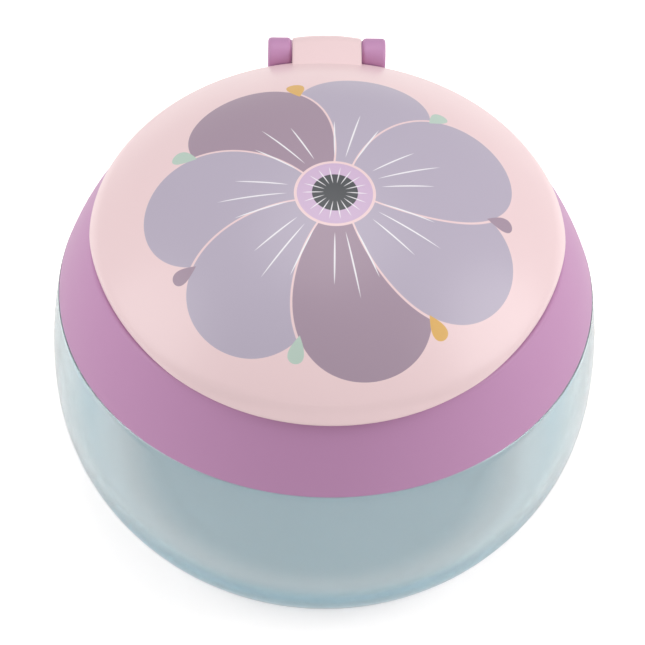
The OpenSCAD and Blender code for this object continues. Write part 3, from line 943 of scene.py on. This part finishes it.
# %% Hinge ears
HINGE_Y, HINGE_RISE = 49.8, 1.7
BARREL_R, CROWN = 3.4, 0.6
KNUCKLE_W, LUG_W = 14.2, 4.7
HINGE_GAP, SIDE_GAP, HINGE_EDGE = 0.3, 0.25, 0.7
BOSS_R, BOSS_T = 2.9, 0.17
LEG_RISE = 1.0

HINGE_Z = DECK_Z + HINGE_RISE
ear_x = KNUCKLE_W / 2 + SIDE_GAP
hinge_half = ear_x + LUG_W
leg_z = NECK_TOP + LEG_RISE
leg_y = math.sqrt(collar_radius(leg_z) ** 2 - hinge_half**2)
print("the ears are", round(LUG_W, 1), "mm wide and reach", round(hinge_half, 2), "mm to each side")


def prism(name, places, start_x, end_x):
    """A block along X from its side view, a list of (y, z) corners in millimetres."""
    return block(name, [[(x, y, z) for y, z in places] for x in (start_x, end_x)])


def hinge_circle(radius, start, end, steps):
    """(y, z) places on a circle round the hinge's axis, angles in degrees from straight back."""
    return [(y, z) for y, z, _ in arc((HINGE_Y, HINGE_Z), radius, start, end, steps)]


def hinge_rod(name, radius, start_x, end_x, steps=64):
    return prism(name, hinge_circle(radius, 0, 360 - 360 / steps, steps - 1), start_x, end_x)


def hinge_ear(side):
    """One ear: a round eye with a low boss, and a leg that goes down into the collar's wall."""
    places = hinge_circle(BARREL_R, 0, 180, 24)
    places += [(HINGE_Y - BARREL_R, deck_under), (leg_y, leg_z)]
    near, far = sorted((side * ear_x, side * hinge_half))
    ear = soft_edges(prism("ear", places, near, far), HINGE_EDGE, angle=50, segments=4)
    boss = hinge_rod("boss", BOSS_R, *sorted((side * (ear_x - BOSS_T), side * (ear_x + SUNK))))
    return combine(ear, boss, "UNION")


# %% Collar
PIN_R, PIN_COVER, BORE_PAST = 1.25, 1.2, 1.0


def make_collar():
    collar = turned("collar_ring", collar_corners(), collar_plastic, closed=True)
    ledge_out = collar_radius(ledge_z + LOCK_T, COLLAR_WALL) + SUNK
    ledge = curved_block("ledge", neck_r + LOCK_GAP, ledge_out, ledge_z, ledge_z + LOCK_T, LOCK_ARC)
    bead = curved_block("bead", skirt_r - BEAD_IN, skirt_r + SUNK, skirt_under + SHY, bead_top, BEAD_ARC)
    combine(collar, around(ledge, LOCK_COUNT, 0, collar_plastic), "UNION")
    combine(collar, around(bead, BEAD_COUNT, BEAD_START, collar_plastic), "UNION")
    for side in (-1, 1):
        ear = hinge_ear(side)
        ear.data.materials.append(collar_plastic)
        combine(collar, ear, "UNION")
    trough_r, trough_x = BARREL_R + CROWN + HINGE_GAP / 2, ear_x - BOSS_T
    combine(collar, hinge_rod("trough", trough_r, -trough_x, trough_x), "DIFFERENCE")
    bore = hinge_rod("bore", PIN_R, PIN_COVER - hinge_half, hinge_half + BORE_PAST)
    combine(collar, bore, "DIFFERENCE")
    return smooth_to(collar, degrees=32)


collar = make_collar()
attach(collar, "collar")
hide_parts("collar")
print("collar has", len(collar.data.polygons), "faces")

# %% [markdown]
# ## The lid
#
# The lid is a shallow dome of 70 mm radius that turns down over a rounded shoulder into a short
# leaning skirt. Seen from above, its rim isn't round: the front stands out as a lip for a thumb,
# and on each side of the lip a flatter stretch is trimmed off, so that the collar shows there.
# The lip and the flat stretches are circles off the lid's axis, which the lathe tree knows how to
# follow. Inside, a thin rib closes round the mouth. The knuckle is built as its own block, hollowed
# to match the inside of the dome, and then joined.

# %% Lid outline
LID_GAP = 0.35
RIB_T, RIB_GAP, RIB_ROOT, RIB_EDGE = 1.4, 0.3, 0.5, 0.45
RIM_EDGE, RIM_EDGE_IN = 0.3, 0.2

dome_inside = DOME_RADIUS - LID_WALL
rib_r = MOUTH_R + MOUTH_LIP_T + RIB_GAP


def skirt_out(inset, height):
    """How far out the skirt, drawn inset by a wall, is at a height above the rim."""
    return LID_RIM - inset / leaning.x - height * leaning.y / leaning.x


def under_dome(across):
    """The angle and the height at which the inside of the dome is this far from the axis."""
    angle = math.degrees(math.acos(across / dome_inside))
    return angle, dome.y + dome_inside * math.sin(math.radians(angle))


def lid_corners():
    """The lid's section, from under its middle down the inside and back up the outside."""
    rib_out, rib_foot = rib_r + RIB_T, RIM_Z + LID_GAP
    near, near_z = under_dome(rib_r)
    far, far_z = under_dome(rib_out)
    return (arc(dome, dome_inside, 90, near, 20)[:-1]
            + [(rib_r, near_z, RIB_ROOT), (rib_r, rib_foot, RIB_EDGE),
               (rib_out, rib_foot, RIB_EDGE), (rib_out, far_z, RIB_ROOT)]
            + arc(dome, dome_inside, far, dome_edge, 2)[1:]
            + arc(shoulder, SHOULDER_ROUND - LID_WALL, dome_edge, LID_LEAN, 8)[1:]
            + [(skirt_out(LID_WALL, 0), RIM_Z, RIM_EDGE_IN), (LID_RIM, RIM_Z, RIM_EDGE)]
            + arc(shoulder, SHOULDER_ROUND, LID_LEAN, dome_edge, 12)
            + arc(dome, DOME_RADIUS, dome_edge, 90, 30)[1:])


# %% Rules for the lid's rim
THUMB_LIP, THUMB_SHIFT, THUMB_H, THUMB_SUNK = 1.1, 5.2, 3.2, 0.1
FLANK_CURVE = 60.0
past_rib = rib_r + 2 * RIB_T


def is_outside(place):
    """True on the outer skin: further out than half way through the wall."""
    if place.y < shoulder.y + (SHOULDER_ROUND - LID_WALL) * leaning.y:
        return place.x > skirt_out(LID_WALL / 2, place.y - RIM_Z)
    if place.x > shoulder.x:
        return (place - shoulder).length > SHOULDER_ROUND - LID_WALL / 2
    return (place - dome).length > DOME_RADIUS - LID_WALL / 2


def rim_guide(place):
    """The skirt's own straight line, which the flank and the lip move away from."""
    inset = 0 if is_outside(place) else LID_WALL
    height = place.y - RIM_Z
    on_skirt = height < (SKIRT_LENGTH - inset * leaning.y / leaning.x) * leaning.x
    return (skirt_out(inset, height) if on_skirt and place.x > past_rib else place.x) * MM


def flank_circle(place):
    """The flank is an upright cut, so that its circle has one radius all the way up."""
    if place.x < past_rib:
        return NO_FLANK * MM
    return (FLANK_CURVE - (0 if is_outside(place) else LID_WALL)) * MM


def lip_cone(place):
    """The lip's cone runs from the rim up to just inside the dome or its shoulder."""
    height = place.y - RIM_Z
    if not is_outside(place) or height > THUMB_H:
        return NO_LIP * MM
    end = RIM_Z + THUMB_H
    top = math.sqrt(DOME_RADIUS**2 - (end - dome.y) ** 2)
    if top > on_circle(dome, DOME_RADIUS, dome_edge).x:
        top = shoulder.x + math.sqrt(SHOULDER_ROUND**2 - (end - shoulder.y) ** 2)
    low = LID_RIM + THUMB_LIP
    return (low + (top - THUMB_SUNK - low) * height / THUMB_H - THUMB_SHIFT) * MM


# %% Knuckle
KNUCKLE_STATIONS, KNUCKLE_INSET = 17, 0.08
HOLLOW_DEPTH = 6.0
HAIR = 0.02  # keeps two faces from lying in one place


def hollow():
    """The solid shape of the space inside the lid, a hair smaller than that space."""
    low = RIM_Z - HOLLOW_DEPTH
    corners = ([(0, low, 0), (skirt_out(LID_WALL, 0), low, 0)]
               + arc(shoulder, SHOULDER_ROUND - LID_WALL - HAIR, LID_LEAN, dome_edge, 5)
               + arc(dome, dome_inside - HAIR, dome_edge, 90, 20)[1:])
    return turned("hollow", corners, None, steps=ROUND_STEPS // 2)


def knuckle_block():
    """The knuckle: a slightly crowned barrel with a web that runs forward into the dome."""
    rings = []
    for i in range(KNUCKLE_STATIONS):
        share = 2 * i / (KNUCKLE_STATIONS - 1) - 1
        radius = BARREL_R - KNUCKLE_INSET + CROWN * (1 - share**2)
        below = math.degrees(math.asin((HINGE_Z - RIM_Z) / radius))
        places = hinge_circle(radius, 180 + below, 360 + 90, 36)
        places += [(shoulder.x, HINGE_Z + radius - HAIR), (shoulder.x, RIM_Z)]
        rings.append([(share * KNUCKLE_W / 2, y, z) for y, z in places])
    return soft_edges(block("knuckle", rings), HINGE_EDGE, angle=60, segments=4)


# %% Lid
FLANK_IN, FLANK_TURN = 1.1, math.radians(64)
RIM_BLEND = 0.5
PIN_PLAY = 0.06


def make_lid():
    lid = turned("lid_dome", lid_corners(), lid_plastic,
                 rules={"guide": rim_guide, "flank": flank_circle, "lip": lip_cone},
                 inputs={"Flank Turn": FLANK_TURN, "Blend": RIM_BLEND * MM,
                         "Flank Shift": (LID_RIM - FLANK_IN - FLANK_CURVE) * MM,
                         "Lip Shift": THUMB_SHIFT * MM})
    knuckle = combine(knuckle_block(), hollow(), "DIFFERENCE")
    knuckle.data.materials.clear()
    knuckle.data.materials.append(lid_plastic)
    combine(lid, knuckle, "UNION")
    for side in (-1, 1):
        near, far = sorted((side * KNUCKLE_W / 2, side * (hinge_half + SIDE_GAP)))
        combine(lid, hinge_rod("notch", BARREL_R + HINGE_GAP, near, far), "DIFFERENCE")
    combine(lid, hinge_rod("bore", PIN_R + PIN_PLAY, -KNUCKLE_W, KNUCKLE_W), "DIFFERENCE")
    return smooth_to(lid, degrees=32)


lid = make_lid()
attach(lid, "lid")
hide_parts("lid")
print("lid has", len(lid.data.polygons), "faces")

# %% [markdown]
# ## Pin and clamp ring
#
# The hinge pin is a short length of steel wire with its ends eased, and the clamp ring is a flat
# moulded ring with rounded edges. A plain cylinder would do for either, but its sharp edges would
# look drawn. Both are turned on the same lathe tree, and the pin is then laid along the hinge.

# %% Pin and clamp ring
PIN_EDGE = 0.3
CLAMP_EDGE, CLAMP_EDGE_TOP = 0.5, 0.3
GUARD_R = skirt_r - GUARD_GAP
EDGE_W = 6.5
edge_in, edge_under = GUARD_R - EDGE_W, deck_under - EDGE_T


def make_pin():
    length = 2 * hinge_half - PIN_COVER
    corners = [(0, 0, 0), (PIN_R, 0, PIN_EDGE), (PIN_R, length, PIN_EDGE), (0, length, 0)]
    pin = turned("hinge_wire", corners, pin_steel, steps=48)
    lie_down = Matrix.Rotation(math.radians(90), 4, "Y")
    pin.data.transform(Matrix.Translation(Vector((hinge_half - length, HINGE_Y, HINGE_Z)) * MM) @ lie_down)
    return pin


def make_clamp():
    corners = [(edge_in, clamp_under, CLAMP_EDGE), (GUARD_R, clamp_under, CLAMP_EDGE),
               (GUARD_R, edge_under, CLAMP_EDGE_TOP), (edge_in, edge_under, CLAMP_EDGE_TOP)]
    return turned("clamp_ring", corners, collar_plastic, closed=True, steps=144)


pin = make_pin()
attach(pin, "collar")
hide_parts("hinge_pin")
clamp = make_clamp()
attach(clamp, "collar")
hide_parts("guard_clamp")
print("pin and clamp ring turned")

# %% [markdown]
# ## The soft flap guard
#
# The guard is one piece of soft rubber: a clamped edge, a thinner sheet, and six flaps cut apart by
# slits. The sheet is turned on the lathe tree with the straight-sided hole. Each flap is its own
# mesh, and it reaches back over its root to the sheet. On the real guard each flap bends on its own,
# but here the flaps aren't hung on any moving body. A thin groove at the root is where such rubber
# is made to fold, and each slit's edges are a little thicker, so that they don't tear.

# %% Guard sheet
FLAPS, FLAP_ROOT = 6, 27.0
SHEET_T, SLIT, BEND_GAP = 1.2, 0.5, 0.3
HOLE_EDGE, SHEET_ROOT, GUARD_EDGE = 0.25, 0.2, 0.3
STRAIGHT_FADE = 4.0
FADE_ROWS = (2, 4.2)  # extra rows, where the straight sides turn round
sheet_mid = deck_under - EDGE_T / 2
hole = FLAP_ROOT + SHEET_T / 2 + BEND_GAP


def straight_weight(place):
    """Straight sides at the hole, fading to round by the time the sheet reaches the clamped edge."""
    return max(0.0, 1 - (place.x - hole) / STRAIGHT_FADE)


def make_guard_sheet():
    top, under = sheet_mid + SHEET_T / 2, sheet_mid - SHEET_T / 2
    corners = [(hole, under, HOLE_EDGE)] + [(hole + row, under, 0) for row in FADE_ROWS]
    corners += [(edge_in, under, SHEET_ROOT), (edge_in, edge_under, GUARD_EDGE),
                (GUARD_R, edge_under, GUARD_EDGE), (GUARD_R, deck_under, GUARD_EDGE),
                (edge_in, deck_under, GUARD_EDGE), (edge_in, top, SHEET_ROOT)]
    corners += [(hole + row, top, 0) for row in reversed(FADE_ROWS)] + [(hole, top, HOLE_EDGE)]
    return turned("guard_sheet", corners, guard_rubber, closed=True, rules={"straight": straight_weight})


guard = make_guard_sheet()
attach(guard, "collar")
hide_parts("guard_rim")

# %% Flaps
TIP_ROUND, TIP_LEAST = 1.1, 0.003
TIP_FROM = 0.9  # share of the flap's length, past which its rows crowd together
FLAP_EDGE = 0.45
BEAD_INSET, BEAD_WIDTH, BEAD_RISE = 1.0, 1.3, 0.16
GROOVE_WIDTH, GROOVE_DEPTH = 0.7, 0.36
ALONG_STEPS, ACROSS_STEPS = 40, 14
half_angle = math.pi / FLAPS
slit_meet = SLIT / 2 / math.sin(half_angle)
tip_centre = slit_meet + TIP_ROUND / math.sin(half_angle)
tip = tip_centre - TIP_ROUND


def flap_half_width(x):
    """Half the flap's width at a distance from the guard's middle, with a rounded tip."""
    if x < tip_centre - TIP_ROUND * math.sin(half_angle):
        return math.sqrt(max(0.0, TIP_ROUND**2 - (tip_centre - x) ** 2))
    return (x - slit_meet) * math.tan(half_angle)


def flap_height(x, from_edge):
    """Half the flap's thickness: thin at its edges, raised just inside them, grooved at its root."""
    close = min(1.0, from_edge / FLAP_EDGE)
    rounding = math.sqrt(max(0.0, 1 - (1 - close) ** 2))
    bead = BEAD_RISE * math.exp(-(((from_edge - BEAD_INSET) / BEAD_WIDTH) ** 2) * 2)
    groove = GROOVE_DEPTH * math.exp(-(((x - FLAP_ROOT) / GROOVE_WIDTH) ** 2))
    return rounding * (SHEET_T / 2 + bead - groove)


def flap_points():
    """Rows of places across the flap from root to tip, closer together near the edges and tip."""
    rows = []
    for i in range(ALONG_STEPS + 1):
        share = i / ALONG_STEPS
        if share >= TIP_FROM:
            into_tip = (share - TIP_FROM) / (1 - TIP_FROM)
            share = TIP_FROM + (1 - TIP_FROM) * math.sin(into_tip * math.pi / 2)
        x = hole - (hole - tip) * share
        half = flap_half_width(max(x, tip + TIP_LEAST))
        across = [math.sin((k / ACROSS_STEPS - 0.5) * math.pi) for k in range(ACROSS_STEPS + 1)]
        rows.append([(x, half * a, half * (1 - abs(a))) for a in across])
    return rows


def flap_mesh(index, turn):
    """A closed flap from its upper and its under skin, joined along its edges and its root."""
    build = bmesh.new()
    skins = [[[build.verts.new(turn @ (Vector((x, y, sheet_mid + side * flap_height(x, edge))) * MM))
               for x, y, edge in row] for row in flap_points()] for side in (1, -1)]
    top, under = skins
    for near, far in list(zip(top, top[1:])) + list(zip(under, under[1:])) + [(top[0], under[0])]:
        for k in range(ACROSS_STEPS):
            build.faces.new((near[k], near[k + 1], far[k + 1], far[k]))
    bmesh.ops.remove_doubles(build, verts=build.verts, dist=WELD)
    return link_mesh(f"soft_flap_{index}", build)


def make_flap(index):
    turn = Matrix.Rotation((index - 1) * math.tau / FLAPS - math.pi / 2, 4, "Z")
    flap = flap_mesh(index, turn)
    flap.data.materials.append(guard_rubber)
    smooth_to(flap, degrees=50)
    body = f"flap_{index}"
    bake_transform(flap)
    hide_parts(body)


for number in range(1, FLAPS + 1):
    make_flap(number)
print(FLAPS, "flaps made")

# %% [markdown]
# ## The table
#
# The floor is a plain white sheet, which keeps the soft grey patch where the bowl meets it. Making
# it brighter with more light would wash the container out too. Instead it glows a little, but only
# for rays from the camera, and somewhat less for rays that gloss and clear plastic send on: the
# Light Path node tells those rays apart. The light that it throws on the container has no glow.

# %% Table
TABLE_SIDE = 6.0
TABLE_BELOW = 0.05 * MM
TABLE_WHITE, TABLE_ROUGH = (0.86, 0.86, 0.86, 1), 0.9
TABLE_SEEN, TABLE_GLOW = (1.0, 0.95, 0.92, 1), 0.5
TABLE_IN_GLASS = 0.78


def paper_white():
    material = bpy.data.materials.new("paper white")
    material.use_nodes = True
    tree = material.node_tree
    shader = tree.nodes["Principled BSDF"].inputs
    shader["Roughness"].default_value = TABLE_ROUGH
    shader["Specular IOR Level"].default_value = 0.0
    shader["Emission Color"].default_value = PURE_WHITE
    rays = add(tree, "ShaderNodeLightPath").outputs
    passed_on = sums(tree, "MAXIMUM", rays["Is Glossy Ray"], rays["Is Transmission Ray"])
    passed_on = times(tree, passed_on, TABLE_IN_GLASS)
    seen = sums(tree, "MAXIMUM", passed_on, rays["Is Camera Ray"])
    tree.links.new(blended(tree, seen, TABLE_WHITE, TABLE_SEEN), shader["Base Color"])
    tree.links.new(times(tree, seen, TABLE_GLOW), shader["Emission Strength"])
    return material


def make_table():
    build = bmesh.new()
    bmesh.ops.create_grid(build, x_segments=1, y_segments=1, size=TABLE_SIDE / 2)
    bmesh.ops.translate(build, verts=build.verts, vec=(0, 0, -TABLE_BELOW))
    table = link_mesh("table", build)
    table.data.materials.append(paper_white())


make_table()
